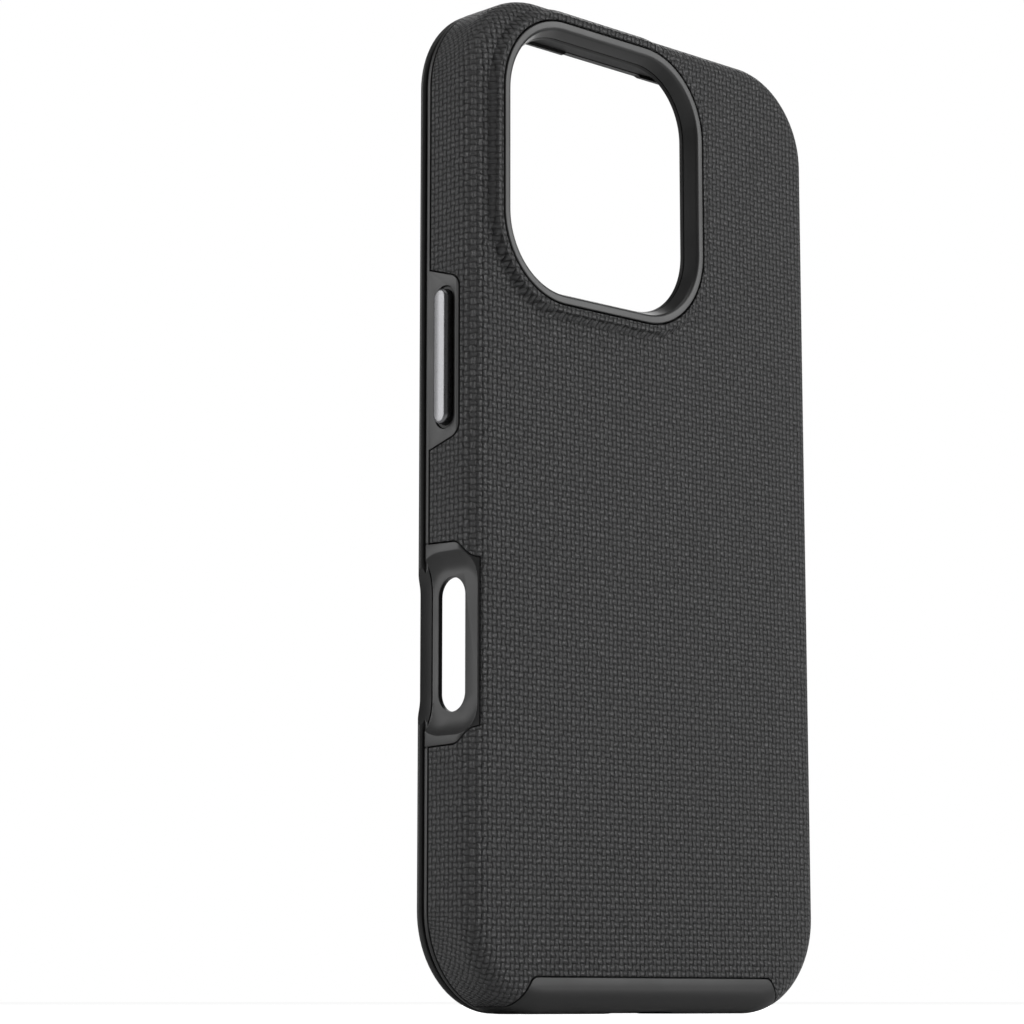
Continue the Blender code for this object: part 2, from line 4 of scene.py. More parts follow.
import bmesh
import bpy
import numpy as np
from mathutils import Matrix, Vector


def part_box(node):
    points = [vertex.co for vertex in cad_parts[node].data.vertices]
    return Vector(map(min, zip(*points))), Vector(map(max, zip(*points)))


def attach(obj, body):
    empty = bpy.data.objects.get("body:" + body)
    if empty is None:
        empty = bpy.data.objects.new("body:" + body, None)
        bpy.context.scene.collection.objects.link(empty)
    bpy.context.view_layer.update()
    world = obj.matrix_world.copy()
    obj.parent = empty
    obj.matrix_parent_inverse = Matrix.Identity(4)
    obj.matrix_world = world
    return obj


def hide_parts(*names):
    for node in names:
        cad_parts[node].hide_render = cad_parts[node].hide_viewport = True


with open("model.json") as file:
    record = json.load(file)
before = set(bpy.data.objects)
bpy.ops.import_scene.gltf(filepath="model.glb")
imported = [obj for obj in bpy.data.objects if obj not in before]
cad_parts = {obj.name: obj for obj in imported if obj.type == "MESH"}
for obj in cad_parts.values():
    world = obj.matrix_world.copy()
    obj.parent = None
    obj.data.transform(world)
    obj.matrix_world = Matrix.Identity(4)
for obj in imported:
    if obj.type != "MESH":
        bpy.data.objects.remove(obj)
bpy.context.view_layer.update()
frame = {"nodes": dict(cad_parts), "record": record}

mm = 0.001


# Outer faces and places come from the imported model's own boxes; the other sizes are fixed.
frameLow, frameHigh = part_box("bumper_frame")
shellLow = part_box("outer_shell")[0]
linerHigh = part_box("inner_liner")[1]
lipLow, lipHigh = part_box("front_lip")
ringLow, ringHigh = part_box("camera_ring")
gasketLow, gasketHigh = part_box("camera_gasket")
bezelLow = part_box("camera_control_bezel")[0]
mounts = {mount["name"]: mount for mount in frame["record"]["mounts"]}
openings = {opening["name"]: opening["box_m"] for opening in frame["record"]["physics"]["openings"]}

case = {
    "halfWidth": frameHigh.x,
    "height": frameHigh.z,
    "back": frameHigh.y,
    "glass": frameLow.y,  # where the screen's face would lie
    "front": lipLow.y,
    "shellEdge": shellLow.y,
    "collarTop": ringHigh.y,
    "linerBack": linerHigh.y,
    "floor": mounts["phone_seat"]["pos_m"][1],
    "corner": 15.1 * mm,
    "edgeRound": 3.7 * mm,
    "wall": 1.2 * mm,
    "wallEdge": 0.18 * mm,
    "linerInset": frameHigh.x - linerHigh.x,
    "cavityInset": 2.6 * mm,
    "seam": 0.2 * mm,
    "cornerSteps": 22,
    "filletSteps": 12,
}
far = 20 * mm  # how far a cutter or a zone runs past the case
controlBox = openings["control_slot"]
middleY = (controlBox[0][1] + controlBox[1][1]) / 2
controlZ = (controlBox[0][2] + controlBox[1][2]) / 2


# sRGB hex to the linear colour that the shader takes
def linear(hexColour):
    values = []
    for start in (1, 3, 5):
        part = int(hexColour[start:start + 2], 16) / 255
        values.append(part / 12.92 if part <= 0.04045 else ((part + 0.055) / 1.055) ** 2.4)
    return (*values, 1.0)


# Adds one node, sets its properties, and fills or links its inputs
def addNode(tree, kind, inputs=(), **settings):
    node = tree.nodes.new(kind)
    for name, value in settings.items():
        setattr(node, name, value)
    for name, value in dict(inputs).items():
        if isinstance(value, bpy.types.NodeSocket):
            tree.links.new(value, node.inputs[name])
        else:
            node.inputs[name].default_value = value
    return node


def newMaterial(name, sockets):
    material = bpy.data.materials.new(name)
    material.use_nodes = True
    shader = material.node_tree.nodes["Principled BSDF"]
    for socket, value in sockets.items():
        shader.inputs[socket].default_value = value
    return material, material.node_tree, shader


def newObject(name, meshData, material, sharp=28):
    bmesh.ops.recalc_face_normals(meshData, faces=meshData.faces)
    mesh = bpy.data.meshes.new(name)
    meshData.to_mesh(mesh)
    meshData.free()
    thing = bpy.data.objects.new(name, mesh)
    bpy.context.scene.collection.objects.link(thing)
    if material:
        mesh.materials.append(material)
    mesh.shade_smooth()
    mesh.set_sharp_from_angle(angle=math.radians(sharp))
    return thing


def outlinePoints(halfA, halfB, radius, steps, middle=(0.0, 0.0)):
    points = []
    for quarter, (sideA, sideB) in enumerate(((1, 1), (-1, 1), (-1, -1), (1, -1))):
        for step in range(steps + 1):
            angle = math.pi / 2 * (quarter + step / steps)
            a = middle[0] + sideA * (halfA - radius) + radius * math.cos(angle)
            b = middle[1] + sideB * (halfB - radius) + radius * math.sin(angle)
            points.append((a, b))
    return points


def caseOutline(inset):
    half = case["height"] / 2
    return outlinePoints(
        case["halfWidth"] - inset, half - inset, case["corner"] - inset, case["cornerSteps"], (0.0, half)
    )


def loft(rings, place, capEnds=True):
    meshData = bmesh.new()
    made = [[meshData.verts.new(place(a, b, level)) for a, b in outline] for outline, level in rings]
    pairs = list(zip(made, made[1:]))
    if not capEnds:
        pairs.append((made[-1], made[0]))
    for ring, following in pairs:
        count = len(ring)
        for index in range(count):
            after = (index + 1) % count
            meshData.faces.new((ring[index], ring[after], following[after], following[index]))
    if capEnds:
        meshData.faces.new(made[0])
        meshData.faces.new(list(reversed(made[-1])))
    return meshData


def alongY(a, b, level):
    return Vector((a, level, b))


def alongX(a, b, level):
    return Vector((level, a, b))


def alongZ(a, b, level):
    return Vector((a, b, level))


def prism(name, outline, low, high, place):
    return newObject(name, loft([(outline, low), (outline, high)], place), None)


def roundPolygon(shape, radius, steps=6):
    points = []
    for before, middle, after in zip(shape[-1:] + shape[:-1], shape, shape[1:] + shape[:1]):
        corner = Vector(middle)
        toBefore = (Vector(before) - corner).normalized()
        toAfter = (Vector(after) - corner).normalized()
        halfAngle = toBefore.angle(toAfter) / 2
        centre = corner + (toBefore + toAfter).normalized() * radius / math.sin(halfAngle)
        start = corner + toBefore * radius / math.tan(halfAngle) - centre
        end = corner + toAfter * radius / math.tan(halfAngle) - centre
        for step in range(steps + 1):
            points.append(tuple(centre + start.lerp(end, step / steps).normalized() * radius))
    return points


# Applies Booleans one after another and removes their cutters
def combine(target, operation, *others):
    for other in others:
        modifier = target.modifiers.new(operation.title(), "BOOLEAN")
        modifier.operation = operation
        modifier.object = other
        modifier.solver = "EXACT"
    settle(target)
    for other in others:
        bpy.data.objects.remove(other, do_unlink=True)


def settle(thing, sharp=28):
    graph = bpy.context.evaluated_depsgraph_get()
    mesh = bpy.data.meshes.new_from_object(thing.evaluated_get(graph), depsgraph=graph)
    thing.modifiers.clear()
    thing.data = mesh
    mesh.shade_smooth()
    mesh.set_sharp_from_angle(angle=math.radians(sharp))


# Rounds the cut edges, after joining points closer than a hundredth of a millimetre
def softenEdges(thing, width, angle=50, segments=3):
    weld = thing.modifiers.new("Weld", "WELD")
    weld.merge_threshold = 0.01 * mm
    bevel = thing.modifiers.new("Bevel", "BEVEL")
    bevel.width = width
    bevel.segments = segments
    bevel.limit_method = "ANGLE"
    bevel.angle_limit = math.radians(angle)
    bevel.use_clamp_overlap = False
    bevel.miter_outer = "MITER_ARC"
    settle(thing)


# From the back face round the outer edge to the front edge, and back inside
def cupRings(inset, back, frontEdge, skinInset, skinBack, edge=0.3 * mm):
    start = case["back"] - case["edgeRound"]
    steps = case["filletSteps"]
    rings = []
    for step in range(steps + 1):
        angle = math.pi / 2 * (1 - step / steps)
        reach = (case["edgeRound"] - inset) * (1 - math.cos(angle))
        rings.append((caseOutline(inset + reach), start + (back - start) * math.sin(angle)))
    for step in range(5):
        angle = math.pi / 2 * step / 4
        outline = caseOutline(inset + edge * (1 - math.cos(angle)))
        rings.append((outline, frontEdge + edge * (1 - math.sin(angle))))
    rings.append((caseOutline(skinInset), frontEdge))
    for step in range(steps + 1):
        angle = math.pi / 2 * step / steps
        reach = (case["edgeRound"] - skinInset) * (1 - math.cos(angle))
        rings.append((caseOutline(skinInset + reach), start + (skinBack - start) * math.sin(angle)))
    return rings


# The outer wall, whose inside stops at the foot of the camera ring
def hardWall(name, material, frontEdge):
    rings = cupRings(0.0, case["back"], frontEdge, case["wall"], ringLow.y, case["wallEdge"])
    return newObject(name, loft(rings, alongY), material)


panel = {
    "corner": 2.2 * mm,
    "fromBack": 3.2 * mm,
    "endBack": 0.9 * mm,
    "endFront": 2.8 * mm,
    "sleeveGap": 0.1 * mm,
}


def recessEnds(first, last):
    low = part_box(first + "_sleeve")[0].z - panel["sleeveGap"]
    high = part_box(last + "_sleeve")[1].z + panel["sleeveGap"]
    return low, high


def panelZone(name, side, first, last, grow):
    low, high = recessEnds(first, last)
    back = case["back"] - panel["fromBack"] + grow
    shape = [
        (case["front"] - far, low - panel["endFront"] - grow),
        (case["shellEdge"], low - panel["endFront"] - grow),
        (back, low - panel["endBack"] - grow),
        (back, high + panel["endBack"] + grow),
        (case["shellEdge"], high + panel["endFront"] + grow),
        (case["front"] - far, high + panel["endFront"] + grow),
    ]
    ends = sorted((side * (case["halfWidth"] - case["edgeRound"] / 2), side * (case["halfWidth"] + far)))
    return prism(name, roundPolygon(shape, panel["corner"]), ends[0], ends[1], alongX)


bezelSizes = {
    "length": 31.6 * mm,
    "backLength": 24.6 * mm,
    "overBack": 1.9 * mm,
    "slotLength": 20 * mm,
    "slotWidth": 5.7 * mm,
    "scoopDepth": 1.65 * mm,
    "scoopFloor": 21.2 * mm,
    "scoopLength": 27.3 * mm,
    "scoopLand": 0.35 * mm,
    "scoopCorner": 3.0 * mm,
    "scoopRamp": 3.8 * mm,
    "blockLength": 25 * mm,
    "blockBack": 4.3 * mm,
}


def bezelZone(name, grow):
    half = bezelSizes["length"] / 2 + grow
    halfBack = bezelSizes["backLength"] / 2 + grow
    slotBack = middleY + bezelSizes["slotWidth"] / 2
    shape = [
        (case["front"] - far, controlZ - half),
        (slotBack, controlZ - half + panel["endBack"]),
        (ringLow.y, controlZ - halfBack),
        (case["back"] + far, controlZ - halfBack),
        (case["back"] + far, controlZ + halfBack),
        (ringLow.y, controlZ + halfBack),
        (slotBack, controlZ + half - panel["endBack"]),
        (case["front"] - far, controlZ + half),
    ]
    outline = roundPolygon(shape, panel["corner"])
    low = case["halfWidth"] - bezelSizes["overBack"] - grow
    return prism(name, outline, low, case["halfWidth"] + far, alongX)


band = {"height": 5.35 * mm, "fromSide": 9 * mm, "slant": 3.5 * mm, "corner": 1.6 * mm}


def bandZone(name, grow):
    halfLow = case["halfWidth"] - band["fromSide"] + grow
    slope = band["slant"] / band["height"]
    low = -2 * band["height"]
    shape = [
        (-halfLow + slope * low, low),
        (halfLow - slope * low, low),
        (halfLow - band["slant"], band["height"] + grow),
        (band["slant"] - halfLow, band["height"] + grow),
    ]
    return prism(name, roundPolygon(shape, band["corner"]), case["front"] - far, case["back"] + far, alongY)


# A dish: a nearly flat floor that sweeps up to the surface at both ends
def scoopCutter(name):
    rings = []
    flat, whole = bezelSizes["scoopFloor"], bezelSizes["scoopLength"]
    steps = 14
    for step in range(steps + 1):
        share = 1.2 * math.sin(math.pi / 2 * step / steps)  # past 1 it stands clear of the surface
        halfZ = flat / 2 + (whole - flat) / 2 * share
        ramp = bezelSizes["scoopRamp"] * share
        low = middleY - bezelSizes["slotWidth"] / 2 - bezelSizes["scoopLand"] - ramp
        high = case["back"] - bezelSizes["scoopLand"] * 2 + ramp
        centre = ((low + high) / 2, controlZ)
        outline = outlinePoints((high - low) / 2, halfZ, bezelSizes["scoopCorner"] * (1 + share), 16, centre)
        rings.append((outline, case["halfWidth"] - bezelSizes["scoopDepth"] * (1 - share ** 2)))
    return newObject(name, loft(rings, alongX), None)


def cameraOutline(grow, steps=24):
    centre = ((ringLow.x + ringHigh.x) / 2, (ringLow.z + ringHigh.z) / 2)
    halfA = (ringHigh.x - ringLow.x) / 2 + grow
    halfB = (ringHigh.z - ringLow.z) / 2 + grow
    return outlinePoints(halfA, halfB, ringSizes["corner"] + grow, steps, centre)


ringSizes = {"corner": 13 * mm, "face": 1.3 * mm, "draft": 1.2 * mm, "seam": 0.25 * mm, "round": 0.22 * mm}


def openingOutline(level, grow=0.0):
    share = (case["collarTop"] - level) / (case["collarTop"] - case["floor"])
    return cameraOutline(-ringSizes["face"] - share * ringSizes["draft"] + grow)


bottom = {
    "portLength": 13.4 * mm,
    "portWidth": 6.6 * mm,
    "scoop": 1.8 * mm,
    "scoopDepth": 0.4 * mm,
    "speakerLength": 12 * mm,
    "speakerWidth": 2.6 * mm,
    "speakerWeb": 5.8 * mm,
    "cutDepth": 3 * mm,
}


def flatPill(length, width, grow, centre, steps=12):
    half = width / 2 + grow
    return outlinePoints(length / 2 + grow, half, half, steps, centre)


def bottomCutters(word):
    low, high = -bottom["cutDepth"], 2 * bottom["cutDepth"]
    port = flatPill(bottom["portLength"], bottom["portWidth"], 0.0, (0.0, middleY))
    cutters = [prism("port" + word, port, low, high, alongZ)]
    offset = (bottom["portLength"] + bottom["speakerLength"]) / 2 + bottom["speakerWeb"]
    for side in (-1, 1):
        shape = flatPill(bottom["speakerLength"], bottom["speakerWidth"], 0.0, (side * offset, middleY))
        cutters.append(prism(f"speaker{word}{side}", shape, low, high, alongZ))
    return cutters


def portScoop(name):
    rings = []
    steps = 8
    for step in range(steps + 1):
        share = 1.3 * step / steps  # past 1 it stands clear of the surface
        grow = bottom["scoop"] * (0.2 + 0.8 * share)
        shape = flatPill(bottom["portLength"], bottom["portWidth"], grow, (0.0, middleY))
        rings.append((shape, bottom["scoopDepth"] * (1 - share ** 2)))
    return newObject(name, loft(rings, alongZ), None)


# thread is the spacing from one thread to the next; depth and the rest were set one by one.
weave = {
    "thread": 0.91 * mm, "depth": 0.48 * mm, "grain": 0.3 * mm, "wave": 0.62, "fill": 0.9,
    "unevenness": 0.7, "wander": 0.55, "grainShare": 0.45, "shadeRange": (0.55, 1.25),
    # The pit colour is painted shade for the hollows between threads; the top colour is the threads' own
    # tone.
    "pitShadeColour": "#090909", "topColour": "#414142", "roughness": (0.62, 0.36),
}


def wovenShellMaterial():
    # Polycarbonate moulded against a woven-cloth pattern: soft diffuse black whose raised thread crossings
    # each catch a small dull light; the pits between the threads are darkened with painted shade.
    material, tree, shader = newMaterial("polycarbonateWovenMould", {
        "Base Color": linear("#2e2e2f"), "Roughness": 0.5, "IOR": 1.58, "Specular IOR Level": 0.5,
    })
    place = addNode(tree, "ShaderNodeAttribute", attribute_name="weavePlace").outputs["Vector"]
    uneven = addNode(tree, "ShaderNodeTexNoise", {
        "Vector": place, "Scale": weave["unevenness"] / weave["thread"], "Detail": 1.0,
    }).outputs["Color"]
    grain = addNode(tree, "ShaderNodeTexNoise", {"Vector": place, "Scale": 1 / weave["grain"], "Detail": 2.0})
    values = {"place": place, "uneven": uneven, "grain": grain.outputs["Fac"]}
    # The threads wander a little, then one thread counts as one unit.
    for name, operation, inputs in (
        ("centred", "SUBTRACT", {0: "uneven", 1: (0.5, 0.5, 0.5)}),
        ("wander", "SCALE", {0: "centred", "Scale": weave["wander"] * weave["thread"]}),
        ("moved", "ADD", {0: "place", 1: "wander"}),
        ("scaled", "SCALE", {0: "moved", "Scale": 1 / weave["thread"]}),
    ):
        found = {key: values[value] if isinstance(value, str) else value for key, value in inputs.items()}
        values[name] = addNode(tree, "ShaderNodeVectorMath", found, operation=operation).outputs[0]
    split = addNode(tree, "ShaderNodeSeparateXYZ", {0: values["scaled"]}).outputs
    values.update(u=split["X"], v=split["Y"])
    # Each thread is round across its width, and rises and dips along its length.
    steps = [
        ("wholeU", "FLOOR", "u", None), ("wholeV", "FLOOR", "v", None),
        ("partU", "FRACT", "u", None), ("partV", "FRACT", "v", None),
        ("acrossU", "SUBTRACT", "partU", 0.5), ("acrossV", "SUBTRACT", "partV", 0.5),
        ("cell", "ADD", "wholeU", "wholeV"), ("odd", "FLOORED_MODULO", "cell", 2.0),
        ("double", "MULTIPLY", "odd", 2.0), ("over", "SUBTRACT", "double", 1.0),
    ]
    for across, along, sign in (("acrossU", "acrossV", 1.0), ("acrossV", "acrossU", -1.0)):
        steps += [
            (along + "Turn", "MULTIPLY", along, math.pi), (along + "Cos", "COSINE", along + "Turn", None),
            (along + "Up", "MULTIPLY", along + "Cos", "over"),
            (along + "Wave", "MULTIPLY", along + "Up", sign * weave["wave"]),
            (across + "Wide", "MULTIPLY", across, 2 * weave["fill"]),
            (across + "Square", "POWER", across + "Wide", 2.0),
            (across + "Left", "SUBTRACT", 1.0, across + "Square"),
            (across + "Round", "SQRT", across + "Left", None),
            (across + "Bulge", "MULTIPLY", across + "Round", 1 - weave["wave"]),
            (across + "Thread", "ADD", along + "Wave", across + "Bulge"),
        ]
    steps += [
        ("height", "MAXIMUM", "acrossUThread", "acrossVThread"),
        ("rough", "MULTIPLY", "grain", weave["grainShare"]),
        ("total", "ADD", "height", "rough"),
    ]
    for name, operation, first, second in steps:
        inputs = {0: values[first] if isinstance(first, str) else first}
        if second is not None:
            inputs[1] = values[second] if isinstance(second, str) else second
        values[name] = addNode(tree, "ShaderNodeMath", inputs, operation=operation).outputs[0]
    relief = {"Height": values["total"], "Strength": 1.0, "Distance": weave["depth"]}
    tree.links.new(addNode(tree, "ShaderNodeBump", relief).outputs[0], shader.inputs["Normal"])
    # Painted shade: the base colour runs from the pit colour in the hollows to the top colour on the raised
    # crossings, and the fine grain varies it at random.
    low, high = weave["shadeRange"]
    lift = addNode(tree, "ShaderNodeMapRange", {0: values["total"], 1: low, 2: high}).outputs[0]
    colours = {6: linear(weave["pitShadeColour"]), 7: linear(weave["topColour"])}
    shade = addNode(tree, "ShaderNodeMix", {0: lift, **colours}, data_type="RGBA")
    tree.links.new(shade.outputs[2], shader.inputs["Base Color"])
    pitRoughness, topRoughness = weave["roughness"]
    gloss = addNode(tree, "ShaderNodeMapRange", {0: lift, 3: pitRoughness, 4: topRoughness})
    tree.links.new(gloss.outputs[0], shader.inputs["Roughness"])
    return material


soft = {"clouds": 0.09, "roughnessSpread": 0.05}  # clouds per millimetre
noiseRange = {1: 0.3, 2: 0.7}  # the part of the noise that gets stretched over the whole range


# A moulded surface: even colour, faint cloudy sheen and a very fine spark-eroded grain
def softMaterial(name, dark, light, roughness, grainSize, grainDepth, ior=1.5):
    material, tree, shader = newMaterial(name, {
        "Base Color": linear(light), "Roughness": roughness, "IOR": ior,
    })
    place = addNode(tree, "ShaderNodeNewGeometry").outputs["Position"]
    cloudSettings = {"Vector": place, "Scale": soft["clouds"] / mm, "Detail": 3.0}
    cloud = addNode(tree, "ShaderNodeTexNoise", cloudSettings).outputs["Fac"]
    shade = addNode(tree, "ShaderNodeMix", {0: cloud, 6: linear(dark), 7: linear(light)}, data_type="RGBA")
    tree.links.new(shade.outputs[2], shader.inputs["Base Color"])
    low, high = roughness - soft["roughnessSpread"], roughness + soft["roughnessSpread"]
    gloss = addNode(tree, "ShaderNodeMapRange", {0: cloud, **noiseRange, 3: low, 4: high})
    tree.links.new(gloss.outputs[0], shader.inputs["Roughness"])
    grain = addNode(tree, "ShaderNodeTexNoise", {"Vector": place, "Scale": 1 / grainSize, "Detail": 2.0})
    relief = {"Height": grain.outputs["Fac"], "Strength": 1.0, "Distance": grainDepth}
    tree.links.new(addNode(tree, "ShaderNodeBump", relief).outputs[0], shader.inputs["Normal"])
    return material


def anodisedMaterial():
    # Aluminium keys, bead-blasted and anodised dark grey: metallic, with a soft wide highlight.
    metal = {"beads": 6, "low": 0.26, "high": 0.36, "depth": 0.004 * mm}  # bead marks per millimetre
    material, tree, shader = newMaterial("anodisedAluminiumBlasted", {
        "Base Color": linear("#7c7c7e"), "Metallic": 1.0, "Roughness": 0.3,
    })
    place = addNode(tree, "ShaderNodeNewGeometry").outputs["Position"]
    beads = {"Vector": place, "Scale": metal["beads"] / mm, "Detail": 2.0}
    grain = addNode(tree, "ShaderNodeTexNoise", beads).outputs["Fac"]
    gloss = addNode(tree, "ShaderNodeMapRange", {0: grain, **noiseRange, 3: metal["low"], 4: metal["high"]})
    tree.links.new(gloss.outputs[0], shader.inputs["Roughness"])
    bump = addNode(tree, "ShaderNodeBump", {"Height": grain, "Distance": metal["depth"]})
    tree.links.new(bump.outputs[0], shader.inputs["Normal"])
    return material


shellMaterial = wovenShellMaterial()
# Smooth thermoplastic rubber of the frame and lip: satin, with soft edges to its highlights.
frameMaterial = softMaterial("thermoplasticRubberSatin", "#232323", "#272727", 0.42, 0.12 * mm, 0.003 * mm)
# The same rubber with a matt tool finish inside: almost no highlight.
linerMaterial = softMaterial("thermoplasticRubberMatt", "#1e1e1e", "#222222", 0.62, 0.15 * mm, 0.006 * mm)
# Hard trim moulded against a polished tool and lightly frosted.
ringMaterial = softMaterial("polycarbonateFrosted", "#1c1c1c", "#202020", 0.38, 0.1 * mm, 0.002 * mm, 1.58)
# Black silicone of sleeves, plungers and gasket: the darkest parts.
insertMaterial = softMaterial("siliconeBlack", "#0d0d0d", "#111111", 0.5, 0.12 * mm, 0.003 * mm, 1.43)
capMaterial = anodisedMaterial()
print("materials made")


# Stores where each point lies on the flattened surface, so that the pattern wraps the edges evenly
def markWeave(thing):
    mesh = thing.data
    points = np.empty(len(mesh.vertices) * 3, np.float32)
    mesh.vertices.foreach_get("co", points)
    points = points.reshape(-1, 3).astype(float)
    reach = case["edgeRound"]
    halfHeight = case["height"] / 2
    footX = np.clip(points[:, 0], -(case["halfWidth"] - case["corner"]), case["halfWidth"] - case["corner"])
    spanZ = halfHeight - case["corner"]
    footZ = np.clip(points[:, 2] - halfHeight, -spanZ, spanZ) + halfHeight
    away = points[:, [0, 2]] - np.stack([footX, footZ], 1)
    length = np.linalg.norm(away, axis=1)
    direction = away / np.maximum(length, 1e-9)[:, None]
    flat = case["corner"] - reach
    start = case["back"] - reach
    lift = np.clip((points[:, 1] - start) / reach, 0, 1)
    girth = reach * (math.pi / 2 - np.arcsin(lift)) + np.maximum(start - points[:, 1], 0)
    onEdge = (length > flat) & (points[:, 1] < case["back"] - 1e-6)
    radius = np.where(onEdge, flat + girth, length)
    place = np.zeros_like(points)
    place[:, 0] = footX + direction[:, 0] * radius
    place[:, 1] = footZ + direction[:, 1] * radius
    attribute = mesh.attributes.new("weavePlace", "FLOAT_VECTOR", "POINT")
    attribute.data.foreach_set("vector", place.astype(np.float32).ravel())


def makeShell():
    sizes = {
        "collarFace": 1.2 * mm, "collarSlope": 0.9 * mm, "collarFoot": 0.05 * mm,
        "shoulderShare": 0.12, "shoulderDrop": 0.12 * mm, "edge": 0.09 * mm,
    }
    shell = hardWall("shell", shellMaterial, case["shellEdge"])
    face, wide = sizes["collarFace"], sizes["collarFace"] + sizes["collarSlope"]
    shoulder = face + sizes["collarSlope"] * sizes["shoulderShare"]
    slope = [
        (cameraOutline(wide), ringLow.y + sizes["collarFoot"]), (cameraOutline(wide), case["back"]),
        (cameraOutline(shoulder), case["collarTop"] - sizes["shoulderDrop"]),
        (cameraOutline(face), case["collarTop"]),
    ]
    combine(shell, "UNION", newObject("collar", loft(slope, alongY), None))
    outline = cameraOutline(ringSizes["seam"])
    hole = prism("cameraHole", outline, case["floor"], case["collarTop"] + far, alongY)
    gap = case["seam"]
    combine(
        shell, "DIFFERENCE", hole,
        panelZone("leftCut", -1, "volume_down", "action", gap),
        panelZone("rightCut", 1, "side", "side", gap),
        bezelZone("bezelCut", gap),
        bandZone("bandCut", gap),
    )
    softenEdges(shell, sizes["edge"])
    markWeave(shell)
    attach(shell, "case")
    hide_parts("outer_shell")


def makeFrame():
    sizes = {"edge": 0.1 * mm, "recess": 4.2 * mm}
    gap = case["seam"]
    thing = hardWall("softFrame", frameMaterial, case["glass"])
    outline = outlinePoints(case["halfWidth"] + far, case["height"], case["corner"], 4)
    zone = prism("frontZone", outline, case["front"] - far, case["shellEdge"] - gap, alongY)
    combine(
        zone, "UNION",
        panelZone("leftZone", -1, "volume_down", "action", 0.0),
        panelZone("rightZone", 1, "side", "side", 0.0),
        bandZone("lowZone", 0.0),
    )
    combine(thing, "INTERSECT", zone)
    cutters = [bezelZone("bezelGap", gap), portScoop("portDish")] + bottomCutters("Frame")
    for word, side in buttonSides.items():
        low, high = recessEnds(word, word)
        half = sizes["recess"] / 2
        outline = outlinePoints(half, (high - low) / 2, half, 14, (middleY, (low + high) / 2))
        ends = sorted((side * (case["halfWidth"] - 2 * case["wall"]), side * (case["halfWidth"] + far)))
        cutters.append(prism(word + "Recess", outline, ends[0], ends[1], alongX))
    combine(thing, "DIFFERENCE", *cutters)
    softenEdges(thing, sizes["edge"])
    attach(thing, "case")
    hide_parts("bumper_frame")


def makeBezel():
    sizes = {"edge": 0.12 * mm}
    thing = hardWall("controlBezel", frameMaterial, case["glass"])
    combine(thing, "INTERSECT", bezelZone("bezelShape", 0.0))
    half = bezelSizes["blockLength"] / 2
    inner = bezelLow.x
    blockBack = middleY + bezelSizes["blockBack"]
    shape = [
        (case["glass"], controlZ - half), (blockBack, controlZ - half),
        (blockBack, controlZ + half), (case["glass"], controlZ + half),
    ]
    combine(thing, "UNION", prism("bezelBlock", shape, inner, case["halfWidth"] - case["wall"] / 2, alongX))
    halfSlot = bezelSizes["slotWidth"] / 2
    slot = outlinePoints(halfSlot, bezelSizes["slotLength"] / 2, halfSlot, 16, (middleY, controlZ))
    combine(thing, "DIFFERENCE", scoopCutter("bezelDish"),
            prism("slotCut", slot, 0.0, case["halfWidth"] + far, alongX))
    softenEdges(thing, sizes["edge"], 35)
    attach(thing, "case")
    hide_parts("camera_control_bezel")


def makeLip():
    sizes = {
        "inset": 3.1 * mm, "groove": 0.75 * mm, "grooveWidth": 0.6 * mm, "chamfer": 1.0 * mm,
        "bead": 0.6 * mm, "notchWidth": 16.7 * mm, "notchDepth": 0.4 * mm,
        "turnStart": 0.25 * mm, "turnRadius": 0.35 * mm, "footInset": 0.2 * mm, "footRise": 0.3 * mm,
    }
    neck = lipHigh.y - sizes["grooveWidth"]
    radius = (neck - case["front"]) / 2
    section = [(sizes["inset"], lipHigh.y), (sizes["groove"], lipHigh.y), (sizes["groove"], neck)]
    for step in range(17):
        angle = math.pi * step / 16
        section.append((sizes["bead"] - radius * math.sin(angle), neck - radius * (1 - math.cos(angle))))
    flatEnd = sizes["inset"] - sizes["chamfer"]
    eighths = [math.pi / 4 * step / 4 for step in range(5)]
    for angle in eighths:
        section.append((flatEnd - sizes["turnStart"] + sizes["turnRadius"] * math.sin(angle),
                        case["front"] + sizes["turnRadius"] * (1 - math.cos(angle))))
    for angle in eighths:
        section.append((sizes["inset"] - sizes["footInset"] * (1 - math.sin(math.pi / 4 + angle)),
                        case["front"] + sizes["chamfer"] + sizes["footRise"] * math.sin(angle)))
    rings = [(caseOutline(inset), level) for inset, level in section]
    thing = newObject("frontLip", loft(rings, alongY, capEnds=False), frameMaterial)
    half = sizes["notchWidth"] / 2
    low = case["height"] - sizes["inset"] - sizes["notchDepth"]
    high = case["height"] - sizes["inset"] + sizes["notchDepth"]
    shape = [(-half - sizes["chamfer"], low), (half + sizes["chamfer"], low), (half, high), (-half, high)]
    notch = prism("earNotch", shape, case["front"] - far, case["glass"] + far, alongY)
    combine(thing, "DIFFERENCE", notch, scoopCutter("lipDish"))
    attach(thing, "case")
    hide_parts("front_lip")


